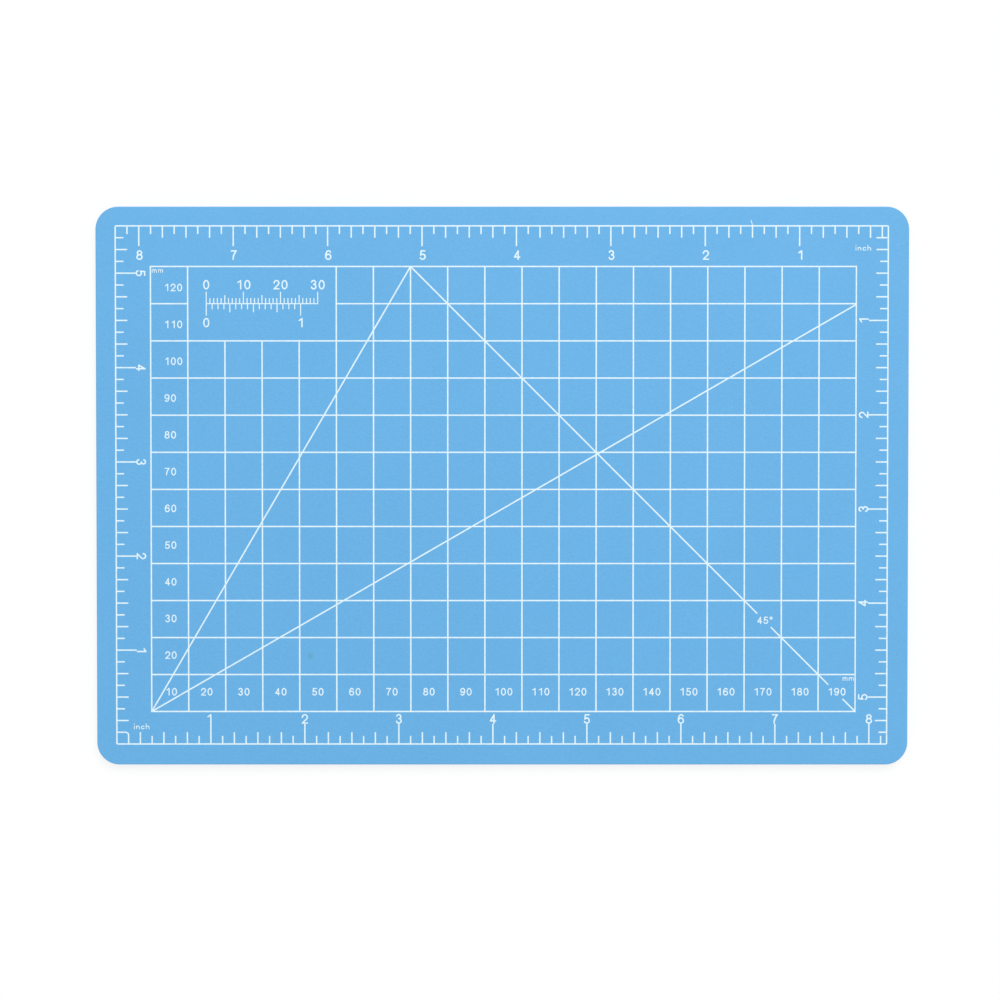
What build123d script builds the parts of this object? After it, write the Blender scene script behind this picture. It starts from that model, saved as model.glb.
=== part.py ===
from build123d import *
from math import atan2, ceil, degrees, floor, radians, tan
import os

# A self-healing cutting mat of A5 size: five bonded plies and a white print on the top face.
# Millimetres. X runs along the length, Y along the width and Z up from the underside.
# The origin is the middle of the underside.

# ---- sheet ----
mat_length = 219.0
mat_width = 150.5
corner_radius = 6.1
bottom_skin_thickness = 0.8
healing_thickness = 0.45
core_thickness = 0.5
top_skin_thickness = 0.8
top_edge_round = 0.3
bottom_edge_round = 0.15

# ---- print ----
ink_thickness = 0.04
line_width = 0.38
inch = 25.4
divisions_per_inch = 8
frame_margin_x = 5.5
frame_margin_y = 5.4
frame_shift_x = -0.15
frame_shift_y = 0.2
frame_corner_radius = 0.45
corner_loop_radius = 0.65

# ---- inch ticks, measured from the middle of the ruler frame's line ----
short_tick = 2.2
medium_tick = 3.2
long_tick = 5.45
right_long_tick = 5.15
last_tick_clearance = 0.3

# ---- inch numerals ----
inch_numeral_height = 2.67
top_numeral_gap = 1.05
top_numeral_shift = 0.17
numeral_clearance = 0.5

# ---- millimetre grid and its numerals ----
cell = 10.0
grid_clearance_x = 9.0
grid_clearance_y = 9.85
grid_shift_x = 0.3
grid_shift_y = -0.85
grid_numeral_height = 2.1
row_numeral_lift = 0.34
first_numeral_shift = 0.28
two_digit_shift = -0.13
column_numeral_offset = 1.34
column_numeral_creep = 0.09
counting_slack = 0.01

# ---- angle lines ----
shallow_angle = 30.0
angle_label_cells = 2
angle_label_offset = 0.35
angle_label_height = 2.0
angle_label_shift = 0.5
angle_label_gap = 5.2
row_numeral_gap = 5.4

# ---- unit marks ----
mark_height = 1.56
inch_mark_inset = 4.6
bottom_mark_rise = 4.0
top_mark_drop = 6.65
grid_mark_inset = 0.35
grid_mark_drop = 1.7

# ---- panel in the grid ----
panel_columns = 4
panel_rows = 2

# ---- plain rule in the panel: millimetres above its spine, sixteenths of an inch below ----
millimetre = 1.0
panel_rule_millimetres = 30
millimetres_per_long_tick = 10
millimetres_per_half_tick = 5
panel_rule_inches = 1
sixteenths_per_inch = 16
sixteenths_per_quarter = 4
panel_line_width = 0.28
panel_fine_tick = 1.5
panel_half_tick = 2.3
panel_long_tick = 3.2
panel_numeral_gap = 0.6
panel_numeral_height = 2.6
panel_rule_clearance = 1.0

# ---- heights and edges that follow from the sizes above ----
lower_healing_base = bottom_skin_thickness
core_base = lower_healing_base + healing_thickness
upper_healing_base = core_base + core_thickness
top_skin_base = upper_healing_base + healing_thickness
top_face = top_skin_base + top_skin_thickness

tick_pitch = inch / divisions_per_inch
tick_start = line_width / 2
frame_length = mat_length - 2 * frame_margin_x
frame_width = mat_width - 2 * frame_margin_y
frame_left = frame_shift_x - frame_length / 2
frame_right = frame_left + frame_length
frame_bottom = frame_shift_y - frame_width / 2
frame_top = frame_bottom + frame_width

columns = floor((frame_length - 2 * grid_clearance_x) / cell + counting_slack)
rows = floor((frame_width - 2 * grid_clearance_y) / cell + counting_slack)
grid_length = columns * cell
grid_width = rows * cell
grid_left = grid_shift_x - grid_length / 2
grid_right = grid_left + grid_length
grid_bottom = grid_shift_y - grid_width / 2
grid_top = grid_bottom + grid_width
row_numeral_rise = cell / 2 + row_numeral_lift - grid_numeral_height / 2
column_numeral_pitch = cell - column_numeral_creep

right = Vector(1, 0)
up = Vector(0, 1)

# ---- lettering ----
# A glyph is drawn with one round pen in a box of height 1. A stroke is a start point and then
# its steps: two numbers are a straight line to that point, four are an arc through the first
# point to the second. A ring is a centre and two radii, to the middle of the pen.
digit_pen = 0.148
digit_width = 0.66
digit_advance = 0.83
one_stem = 0.47
digit_strokes = {
    "0": [],
    "1": [[(0.19, 0.74), (one_stem, 0.92), (one_stem, 0.08)]],
    "2": [[(0.0825, 0.675), (0.33, 0.9225, 0.525, 0.523), (0.08, 0.08), (0.585, 0.08)]],
    "3": [
        [(0.125, 0.78), (0.525, 0.7265, 0.33, 0.53)],
        [(0.33, 0.53), (0.5565, 0.304, 0.105, 0.26)],
    ],
    "4": [[(0.44, 0.92), (0.08, 0.3), (0.595, 0.3)], [(0.44, 0.92), (0.44, 0.08)]],
    "5": [
        [(0.545, 0.92), (0.17, 0.92), (0.125, 0.49)],
        [(0.125, 0.49), (0.5725, 0.33, 0.09, 0.23)],
    ],
    "6": [[(0.0775, 0.4), (0.095, 0.6, 0.16, 0.77), (0.34, 0.9225, 0.545, 0.79)]],
    "7": [[(0.08, 0.92), (0.58, 0.92), (0.345, 0.55, 0.25, 0.08)]],
    "8": [],
    "9": [[(0.5825, 0.6), (0.565, 0.4, 0.5, 0.23), (0.32, 0.0775, 0.115, 0.21)]],
    "°": [],
}
digit_rings = {
    "0": [(0.33, 0.5, 0.2525, 0.4225)],
    "6": [(0.33, 0.33, 0.2525, 0.2525)],
    "8": [(0.33, 0.725, 0.205, 0.195), (0.33, 0.305, 0.2525, 0.2275)],
    "9": [(0.33, 0.67, 0.2525, 0.2525)],
    "°": [(0.2, 0.8, 0.13, 0.13)],
}
letter_pen = 0.15
letter_strokes = {
    "m": [
        [(0.08, 0.08), (0.08, 0.55)],
        [(0.08, 0.37), (0.26, 0.55, 0.44, 0.37), (0.44, 0.08)],
        [(0.44, 0.37), (0.62, 0.55, 0.8, 0.37), (0.8, 0.08)],
    ],
    "i": [[(0.08, 0.08), (0.08, 0.55)], [(0.08, 0.87), (0.08, 0.92)]],
    "n": [[(0.08, 0.08), (0.08, 0.55)], [(0.08, 0.3), (0.33, 0.55, 0.58, 0.3), (0.58, 0.08)]],
    "c": [[(0.53, 0.46), (0.08, 0.315, 0.53, 0.17)]],
    "h": [[(0.08, 0.08), (0.08, 0.92)], [(0.08, 0.3), (0.33, 0.55, 0.58, 0.3), (0.58, 0.08)]],
}
letter_width = {"m": 0.88, "i": 0.16, "n": 0.66, "c": 0.62, "h": 0.66}
letter_gap = 0.2


def pen_path(stroke):
    """The middle line of one stroke, as a wire."""
    with BuildLine(mode=Mode.PRIVATE) as path:
        here = stroke[0]
        for step in stroke[1:]:
            if len(step) == 2:
                Line(here, step)
            else:
                ThreePointArc(here, step[:2], step[2:])
            here = step[-2:]
    return path.wire()


def draw_glyph(strokes, rings, pen):
    """One glyph of height 1, as a sketch that stands on the X axis."""
    with BuildSketch() as shape:
        for x, y, radius_x, radius_y in rings:
            with Locations((x, y)):
                Ellipse(radius_x + pen / 2, radius_y + pen / 2)
                Ellipse(radius_x - pen / 2, radius_y - pen / 2, mode=Mode.SUBTRACT)
        for stroke in strokes:
            SlotArc(pen_path(stroke), pen)
    return shape.sketch


digits = {
    key: draw_glyph(strokes, digit_rings.get(key, []), digit_pen)
    for key, strokes in digit_strokes.items()
}
letters = {key: draw_glyph(strokes, [], letter_pen) for key, strokes in letter_strokes.items()}


def text_width(text):
    """The width of a row of digits of height 1."""
    return (len(text) - 1) * digit_advance + digit_width


def mark_width(text):
    """The width of a row of small letters of height 1."""
    return sum(letter_width[key] for key in text) + (len(text) - 1) * letter_gap


def write(text, height, x, y, turn=0):
    """Adds digits to the open sketch, centred on x and standing on y, turned about that point."""
    start = -text_width(text) * height / 2
    with Locations(Location((x, y, 0), (0, 0, turn))):
        for place, key in enumerate(text):
            with Locations((start + place * digit_advance * height, 0)):
                add(digits[key].scale(height))


def write_mark(text, x, y):
    """Adds small letters to the open sketch, starting at x and standing on y."""
    for key in text:
        with Locations((x, y)):
            add(letters[key].scale(mark_height))
        x += (letter_width[key] + letter_gap) * mark_height


def tick_count(span):
    """How many ticks fit on a side, with none too close to the far corner."""
    return ceil((span - last_tick_clearance) / tick_pitch) - 1


def tick_length(index, inch_length):
    """Inches are long, quarter inches are medium and eighths are short."""
    if index % divisions_per_inch == 0:
        return inch_length
    return medium_tick if index % 2 == 0 else short_tick


def add_ticks(lengths, corner, along, inward):
    """Adds the numbered ticks of one side to the open sketch, pointing inward from the frame."""
    for index, length in lengths.items():
        middle = corner + along * (index * tick_pitch) + inward * ((tick_start + length) / 2)
        size = along * line_width + inward * (length - tick_start)
        with Locations((middle.X, middle.Y)):
            Rectangle(abs(size.X), abs(size.Y))


def add_line(start, end):
    """Adds a straight line of the print's width to the open sketch."""
    span = end - start
    middle = (start + end) / 2
    turn = degrees(atan2(span.Y, span.X))
    with Locations(Location((middle.X, middle.Y, 0), (0, 0, turn))):
        Rectangle(span.length, line_width)


def corner_plate(size, radius):
    """A square in the ruler frame's lower left corner, with its far corner rounded."""
    with BuildSketch() as plate:
        with Locations((frame_left + tick_start, frame_bottom + tick_start)):
            Rectangle(size, size, align=(Align.MIN, Align.MIN))
        fillet(plate.vertices().sort_by(Axis((0, 0, 0), (1, 1, 0)))[-1], radius)
    return plate.sketch


def ply(base, thickness):
    """One plain ply of the sheet."""
    with BuildPart() as sheet:
        with BuildSketch(Plane.XY.offset(base)):
            RectangleRounded(mat_length, mat_width, corner_radius)
        extrude(amount=thickness)
    return sheet.part


def printed(sketch):
    """Ink as thick as the print, standing on the top face."""
    with BuildPart() as film:
        with BuildSketch(Plane.XY.offset(top_face)):
            add(sketch)
        extrude(amount=ink_thickness)
    return film.part


# ======== plies ========

with BuildPart() as bottom_skin:
    add(ply(0, bottom_skin_thickness))
    lowest_rim = bottom_skin.faces().sort_by(Axis.Z)[0].edges()
    fillet(lowest_rim, min(bottom_edge_round, bottom_skin_thickness / 2))

with BuildPart() as top_skin:
    add(ply(top_skin_base, top_skin_thickness))
    highest_rim = top_skin.faces().sort_by(Axis.Z)[-1].edges()
    fillet(highest_rim, min(top_edge_round, top_skin_thickness / 2))

plies = {
    "bottom_skin": bottom_skin.part,
    "lower_healing_layer": ply(lower_healing_base, healing_thickness),
    "rigid_core": ply(core_base, core_thickness),
    "upper_healing_layer": ply(upper_healing_base, healing_thickness),
    "top_skin": top_skin.part,
}

# ======== ruler frame and inch ticks ========

lower_left = Vector(frame_left, frame_bottom)
upper_left = Vector(frame_left, frame_top)
upper_right = Vector(frame_right, frame_top)
ticks_x = tick_count(frame_length)
ticks_y = tick_count(frame_width)
top_zero = ticks_x + 1

with BuildSketch() as ruler_frame:
    with Locations((frame_shift_x, frame_shift_y)):
        RectangleRounded(frame_length + line_width, frame_width + line_width, frame_corner_radius)
        Rectangle(frame_length - line_width, frame_width - line_width, mode=Mode.SUBTRACT)

# The first bottom tick and the first left tick are one loop with a rounded corner.
with BuildSketch() as corner_loop:
    add(corner_plate(tick_pitch, corner_loop_radius + line_width))
    add(corner_plate(tick_pitch - line_width, corner_loop_radius), mode=Mode.SUBTRACT)

with BuildSketch() as bottom_ticks:
    lengths = {n: tick_length(n, long_tick) for n in range(2, ticks_x + 1)}
    add_ticks(lengths, lower_left, right, up)

# The top inches are counted from the right, and the last tick ends on the first right-hand one.
with BuildSketch() as top_ticks:
    lengths = {n: tick_length(top_zero - n, long_tick) for n in range(1, ticks_x)}
    lengths[ticks_x] = tick_pitch - line_width / 2
    add_ticks(lengths, upper_left, right, -up)

with BuildSketch() as left_ticks:
    lengths = {n: tick_length(n, long_tick) for n in range(2, ticks_y + 1)}
    add_ticks(lengths, lower_left, up, right)
    add(top_ticks.sketch, mode=Mode.SUBTRACT)

with BuildSketch() as right_ticks:
    lengths = {n: tick_length(n, right_long_tick) for n in range(2, ticks_y + 1)}
    lengths[1] = medium_tick
    add_ticks(lengths, upper_right, -up, -right)
    add(top_ticks.sketch, mode=Mode.SUBTRACT)
    add(bottom_ticks.sketch, mode=Mode.SUBTRACT)

# ======== inch numerals and marks ========

# A numeral is left out where it would meet the ticks or the numerals of the next side.
half_numeral = digit_width * inch_numeral_height / 2
end_room = numeral_clearance + half_numeral
numeral_reach = long_tick + top_numeral_gap + inch_numeral_height
inches_x = floor((frame_length - medium_tick - end_room) / inch)
inches_y = floor((frame_width - numeral_reach - end_room) / inch)

with BuildSketch() as bottom_numerals:
    for number in range(1, inches_x + 1):
        x = frame_left + number * inch
        # The stem of the 1 stands on its own tick.
        if number == 1:
            x -= (one_stem - digit_width / 2) * inch_numeral_height
        write(str(number), inch_numeral_height, x, frame_bottom + long_tick)

with BuildSketch() as top_numerals:
    for number in range(1, inches_x + 1):
        x = frame_left + top_zero * tick_pitch - number * inch + top_numeral_shift
        y = frame_top - long_tick - top_numeral_gap - inch_numeral_height
        write(str(number), inch_numeral_height, x, y)

with BuildSketch() as left_numerals:
    for number in range(1, inches_y + 1):
        x = frame_left + long_tick
        write(str(number), inch_numeral_height, x, frame_bottom + number * inch, -90)

with BuildSketch() as right_numerals:
    for number in range(1, inches_y + 1):
        x = frame_right - right_long_tick
        write(str(number), inch_numeral_height, x, frame_top - number * inch, 90)

with BuildSketch() as inch_marks:
    write_mark("inch", frame_left + inch_mark_inset, frame_bottom + bottom_mark_rise)
    x = frame_right - inch_mark_inset - mark_width("inch") * mark_height
    write_mark("inch", x, frame_top - top_mark_drop)

# ======== millimetre grid ========

panel_width = panel_rows * cell
panel_length = panel_columns * cell
panel_x = grid_left + cell + panel_length / 2
panel_y = grid_top - panel_width / 2

with BuildSketch() as panel:
    with Locations((panel_x, panel_y)):
        Rectangle(panel_length - line_width, panel_width - line_width)

rule_length = panel_rule_millimetres * millimetre
rule_left = panel_x - rule_length / 2
numeral_offset = panel_long_tick + panel_numeral_gap
half_rule_width = numeral_offset + panel_numeral_height

# The room that an angle line leaves for the rule in the panel.
with BuildSketch() as rule_room:
    with Locations((panel_x, panel_y)):
        length = rule_length + 2 * panel_rule_clearance
        Rectangle(length, 2 * (half_rule_width + panel_rule_clearance))

with BuildSketch() as grid_lines:
    for column in range(columns + 1):
        with Locations((grid_left + column * cell, (grid_bottom + grid_top) / 2)):
            Rectangle(line_width, grid_width + line_width)
    for row in range(rows + 1):
        with Locations((grid_shift_x, grid_bottom + row * cell)):
            Rectangle(grid_length + line_width, line_width)
    add(panel.sketch, mode=Mode.SUBTRACT)

# ======== angle lines ========

origin_corner = Vector(grid_left, grid_bottom)
far_corner = Vector(grid_right, grid_bottom)
apex = Vector(grid_right - grid_width, grid_top)
shallow_slope = tan(radians(shallow_angle))
shallow_run = min(grid_length, grid_width / shallow_slope)
shallow_end = origin_corner + Vector(shallow_run, shallow_run * shallow_slope)
down_diagonal = Vector(1, -1).normalized()
label_inset = (angle_label_cells + 0.5) * cell - angle_label_offset
label_middle = far_corner + Vector(-label_inset, label_inset)
numeral_rise = row_numeral_rise + grid_numeral_height / 2
numeral_middle = far_corner + Vector(-numeral_rise, numeral_rise)
half_label_gap = down_diagonal * (angle_label_gap / 2)
half_numeral_gap = down_diagonal * (row_numeral_gap / 2)

# No angle line is printed over the grid's own lines, over the rule or over the line before it.
with BuildSketch() as steep_line:
    add_line(origin_corner, apex)
    add(grid_lines.sketch, mode=Mode.SUBTRACT)
    add(rule_room.sketch, mode=Mode.SUBTRACT)

with BuildSketch() as shallow_line:
    add_line(origin_corner, shallow_end)
    add(grid_lines.sketch, mode=Mode.SUBTRACT)
    add(rule_room.sketch, mode=Mode.SUBTRACT)
    add(steep_line.sketch, mode=Mode.SUBTRACT)

# The diagonal stops on either side of its label and of the last numeral of the row.
with BuildSketch() as diagonal_line:
    add_line(apex, label_middle - half_label_gap)
    add_line(label_middle + half_label_gap, numeral_middle - half_numeral_gap)
    add_line(numeral_middle + half_numeral_gap, far_corner)
    add(grid_lines.sketch, mode=Mode.SUBTRACT)
    add(rule_room.sketch, mode=Mode.SUBTRACT)
    add(steep_line.sketch, mode=Mode.SUBTRACT)
    add(shallow_line.sketch, mode=Mode.SUBTRACT)

with BuildSketch() as angle_label:
    x = label_middle.X + angle_label_shift
    write("45°", angle_label_height, x, label_middle.Y - angle_label_height / 2)

# ======== grid numerals and marks ========

with BuildSketch() as row_numerals:
    for column in range(columns):
        text = f"{(column + 1) * cell:.0f}"
        x = grid_left + (column + 0.5) * cell
        # The first numeral stands clear of the steep line.
        if column == 0:
            x += first_numeral_shift
        elif len(text) == 2:
            x += two_digit_shift
        write(text, grid_numeral_height, x, grid_bottom + row_numeral_rise)
    add(steep_line.sketch, mode=Mode.SUBTRACT)
    add(shallow_line.sketch, mode=Mode.SUBTRACT)

with BuildSketch() as column_numerals:
    for row in range(1, rows):
        text = f"{(row + 1) * cell:.0f}"
        left = grid_left + cell / 2 - column_numeral_offset
        x = left + text_width(text) * grid_numeral_height / 2
        y = grid_bottom + row_numeral_rise + row * column_numeral_pitch
        write(text, grid_numeral_height, x, y)

with BuildSketch() as millimetre_marks:
    write_mark("mm", grid_left + grid_mark_inset, grid_top - grid_mark_drop)
    x = grid_right - grid_mark_inset - mark_width("mm") * mark_height
    write_mark("mm", x, grid_bottom + cell - grid_mark_drop)

# ======== plain rule in the panel ========


def rule_tick(step, whole, part):
    """The length of one tick of the rule."""
    if step % whole == 0:
        return panel_long_tick
    return panel_half_tick if step % part == 0 else panel_fine_tick


sixteenth = inch / sixteenths_per_inch

with BuildSketch() as panel_rule:
    with Locations((panel_x, panel_y)):
        Rectangle(rule_length + panel_line_width, panel_line_width)
    for step in range(panel_rule_millimetres + 1):
        length = rule_tick(step, millimetres_per_long_tick, millimetres_per_half_tick)
        with Locations((rule_left + step * millimetre, panel_y)):
            Rectangle(panel_line_width, length, align=(Align.CENTER, Align.MIN))
    for step in range(panel_rule_inches * sixteenths_per_inch + 1):
        length = rule_tick(step, sixteenths_per_inch, sixteenths_per_quarter)
        with Locations((rule_left + step * sixteenth, panel_y)):
            Rectangle(panel_line_width, length, align=(Align.CENTER, Align.MAX))

with BuildSketch() as panel_numerals:
    for step in range(0, panel_rule_millimetres + 1, millimetres_per_long_tick):
        x = rule_left + step * millimetre
        write(str(step), panel_numeral_height, x, panel_y + numeral_offset)
    for number in range(panel_rule_inches + 1):
        y = panel_y - half_rule_width
        write(str(number), panel_numeral_height, rule_left + number * inch, y)

# ======== output ========

prints = {
    "ruler_frame": ruler_frame,
    "corner_loop": corner_loop,
    "bottom_inch_ticks": bottom_ticks,
    "top_inch_ticks": top_ticks,
    "left_inch_ticks": left_ticks,
    "right_inch_ticks": right_ticks,
    "bottom_inch_numerals": bottom_numerals,
    "top_inch_numerals": top_numerals,
    "left_inch_numerals": left_numerals,
    "right_inch_numerals": right_numerals,
    "inch_marks": inch_marks,
    "centimetre_grid": grid_lines,
    "steep_angle_line": steep_line,
    "shallow_angle_line": shallow_line,
    "diagonal_angle_line": diagonal_line,
    "diagonal_angle_label": angle_label,
    "millimetre_row_numerals": row_numerals,
    "millimetre_column_numerals": column_numerals,
    "millimetre_marks": millimetre_marks,
    "panel_rule": panel_rule,
    "panel_rule_numerals": panel_numerals,
}

os.makedirs("parts", exist_ok=True)
pieces = plies | {name: printed(drawing.sketch) for name, drawing in prints.items()}
for name, piece in pieces.items():
    piece.label = name
    export_step(piece, f"parts/{name}.step")
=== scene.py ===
import math
from functools import partial

import bmesh
import bpy
from bpy.props import FloatProperty, FloatVectorProperty, IntProperty, PointerProperty
from bpy.types import NodeSocket, Operator, Panel, PropertyGroup
from mathutils import Matrix, Vector, geometry


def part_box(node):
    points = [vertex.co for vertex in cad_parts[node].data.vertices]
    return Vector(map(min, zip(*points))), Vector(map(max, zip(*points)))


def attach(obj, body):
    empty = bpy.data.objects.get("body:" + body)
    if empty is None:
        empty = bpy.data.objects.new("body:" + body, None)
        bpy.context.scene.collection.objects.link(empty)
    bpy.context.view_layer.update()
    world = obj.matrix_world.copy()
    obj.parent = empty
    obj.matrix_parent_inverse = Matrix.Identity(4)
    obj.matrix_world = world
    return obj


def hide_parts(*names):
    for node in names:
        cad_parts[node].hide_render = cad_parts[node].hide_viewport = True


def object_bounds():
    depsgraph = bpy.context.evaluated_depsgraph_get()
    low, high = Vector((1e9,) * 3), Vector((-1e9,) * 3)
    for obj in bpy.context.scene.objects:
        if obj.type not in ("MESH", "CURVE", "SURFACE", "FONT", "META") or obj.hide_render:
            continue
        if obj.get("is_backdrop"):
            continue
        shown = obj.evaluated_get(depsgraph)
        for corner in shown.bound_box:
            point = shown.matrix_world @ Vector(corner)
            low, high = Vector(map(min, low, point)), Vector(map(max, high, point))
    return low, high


bl_info = {
    "name": "Cutting mat",
    "version": (1, 0, 0),
    "blender": (4, 5, 0),
    "location": "3D View > Sidebar > Cutting mat",
    "description": "Builds a five-ply self-healing cutting mat with its printed rulers and grid",
    "category": "Add Mesh",
}

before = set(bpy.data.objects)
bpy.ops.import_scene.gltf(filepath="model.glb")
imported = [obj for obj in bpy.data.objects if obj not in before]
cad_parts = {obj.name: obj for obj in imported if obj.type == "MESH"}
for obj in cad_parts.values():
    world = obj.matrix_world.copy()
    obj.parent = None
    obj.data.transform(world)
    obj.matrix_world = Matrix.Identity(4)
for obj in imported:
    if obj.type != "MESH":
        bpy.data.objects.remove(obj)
cad_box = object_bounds()

BODY = "root"

# ---- lettering: the strokes of each glyph, in a box of height 1 ----
# A stroke is a start point and then its steps: two numbers are a straight line to that point, four
# are an arc through the first point to the second. A ring is a centre and two radii.
DIGIT_PEN = 0.148
DIGIT_WIDTH = 0.66
DIGIT_GAP = 0.17
ONE_STEM = 0.47
LETTER_PEN = 0.15
LETTER_WIDTH = {"m": 0.88, "i": 0.16, "n": 0.66, "c": 0.62, "h": 0.66}
LETTER_GAP = 0.2
STROKES = {
    "1": [[(0.19, 0.74), (ONE_STEM, 0.92), (ONE_STEM, 0.08)]],
    "2": [[(0.0825, 0.675), (0.33, 0.9225, 0.525, 0.523), (0.08, 0.08), (0.585, 0.08)]],
    "3": [
        [(0.125, 0.78), (0.525, 0.7265, 0.33, 0.53)],
        [(0.33, 0.53), (0.5565, 0.304, 0.105, 0.26)],
    ],
    "4": [[(0.44, 0.92), (0.08, 0.3), (0.595, 0.3)], [(0.44, 0.92), (0.44, 0.08)]],
    "5": [
        [(0.545, 0.92), (0.17, 0.92), (0.125, 0.49)],
        [(0.125, 0.49), (0.5725, 0.33, 0.09, 0.23)],
    ],
    "6": [[(0.0775, 0.4), (0.095, 0.6, 0.16, 0.77), (0.34, 0.9225, 0.545, 0.79)]],
    "7": [[(0.08, 0.92), (0.58, 0.92), (0.345, 0.55, 0.25, 0.08)]],
    "9": [[(0.5825, 0.6), (0.565, 0.4, 0.5, 0.23), (0.32, 0.0775, 0.115, 0.21)]],
    "m": [
        [(0.08, 0.08), (0.08, 0.55)],
        [(0.08, 0.37), (0.26, 0.55, 0.44, 0.37), (0.44, 0.08)],
        [(0.44, 0.37), (0.62, 0.55, 0.8, 0.37), (0.8, 0.08)],
    ],
    "i": [[(0.08, 0.08), (0.08, 0.55)], [(0.08, 0.87), (0.08, 0.92)]],
    "n": [[(0.08, 0.08), (0.08, 0.55)], [(0.08, 0.3), (0.33, 0.55, 0.58, 0.3), (0.58, 0.08)]],
    "c": [[(0.53, 0.46), (0.08, 0.315, 0.53, 0.17)]],
    "h": [[(0.08, 0.08), (0.08, 0.92)], [(0.08, 0.3), (0.33, 0.55, 0.58, 0.3), (0.58, 0.08)]],
}
RINGS = {
    "0": [(0.33, 0.5, 0.2525, 0.4225)],
    "6": [(0.33, 0.33, 0.2525, 0.2525)],
    "8": [(0.33, 0.725, 0.205, 0.195), (0.33, 0.305, 0.2525, 0.2275)],
    "9": [(0.33, 0.67, 0.2525, 0.2525)],
    "°": [(0.2, 0.8, 0.13, 0.13)],
}
ARC_STEP = math.radians(9)
ROUND_END_SIDES = 18
RING_SIDES = 36
GLYPH_MERGE = 1e-5

# ---- how finely the sheets and films are built ----
FILM_MERGE = 1e-7
SHEET_MERGE = 1e-8
CORNER_STEPS = 12
SHEET_CORNER_STEPS = 20
RIM_STEPS = 5
SHARP_ANGLE = math.radians(35)

RIGHT, LEFT = Vector((1, 0)), Vector((-1, 0))
UP, DOWN = Vector((0, 1)), Vector((0, -1))

# ---- what the scales count ----
MILLIMETRES = 1000
LONG_MILLIMETRES = 10
HALF_MILLIMETRES = 5
SIXTEENTHS = 16
QUARTER_SIXTEENTHS = 4
QUARTER_EIGHTHS = 2

# ---- finishes: sizes and depths in metres, detail of the noise, shares of a colour ----
SKIN_ROUGHNESS = 0.62
CLOUD_SIZE, CLOUD_SHARE = 0.035, 0.025
FLECK_SIZE, FLECK_SHARE = 0.0007, 0.05
COLOUR_DETAIL = 3.0
SHEEN_SIZE, SHEEN_DETAIL = 0.012, 4.0
SHEEN_RANGE = (0.56, 0.68)
PEBBLE_SMOOTHNESS = 0.6
PATCH_CORE = 0.1
STAIN_STRENGTH = 0.75
RUB_STRENGTH, RUB_BRIGHTNESS = 0.3, 1.35
HEALING_ROUGHNESS, CORE_ROUGHNESS = 0.45, 0.35
DRAWN_SIZE, DRAWN_DETAIL, DRAWN_SHARE, DRAWN_DEPTH = 0.0004, 2.0, 0.1, 0.00002
DRAWN_STRETCH = (1, 1, 0.12)
INK_ROUGHNESS = 0.5
THIN_SIZE, THIN_DETAIL, THIN_SHARE = 0.0009, 4.0, 0.2
THIN_RANGE = (0.42, 0.75)
WEAVE_SIZE, WEAVE_DETAIL, WEAVE_DEPTH = 0.00008, 1.0, 0.000006

# ---- floor, lamp and lens ----
WHITE = (1, 1, 1)
FLOOR_COLOUR = (0.8, 0.8, 0.8)
FLOOR_SHADED = (0.22, 0.219, 0.216)
FLOOR_GLOW = 0.785
FLOOR_SIDES = 64
FLOOR_DROP = 0.00002
LAMP_SIZE = 1.4
LAMP_PLACE = (0.4, 1.2, 1.8)
CLIP_RANGE = (0.01, 50)


def metres(description, default):
    """A size, or a flat place or reach, in metres that a user may change."""
    options = {"description": description, "default": default, "unit": "LENGTH", "precision": 5}
    if isinstance(default, tuple):
        return FloatVectorProperty(size=len(default), **options)
    return FloatProperty(**options)


def colour_property(description, default):
    """A plain colour that a user may change."""
    return FloatVectorProperty(
        description=description, default=default, size=3, subtype="COLOR", min=0, max=1
    )


class MatSheetSizes(PropertyGroup):
    """Sizes of the bonded plies."""

    corner_radius: metres("Radius of the four corners", 0.0061)
    top_round: metres("Rounding of the upper rim", 0.0003)
    bottom_round: metres("Rounding of the lower rim", 0.00015)
    seam_round: metres("Rounding of the rims where plies meet", 0.00004)
    inner_setback: metres("Setback of the inner plies", 0.00003)


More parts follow.
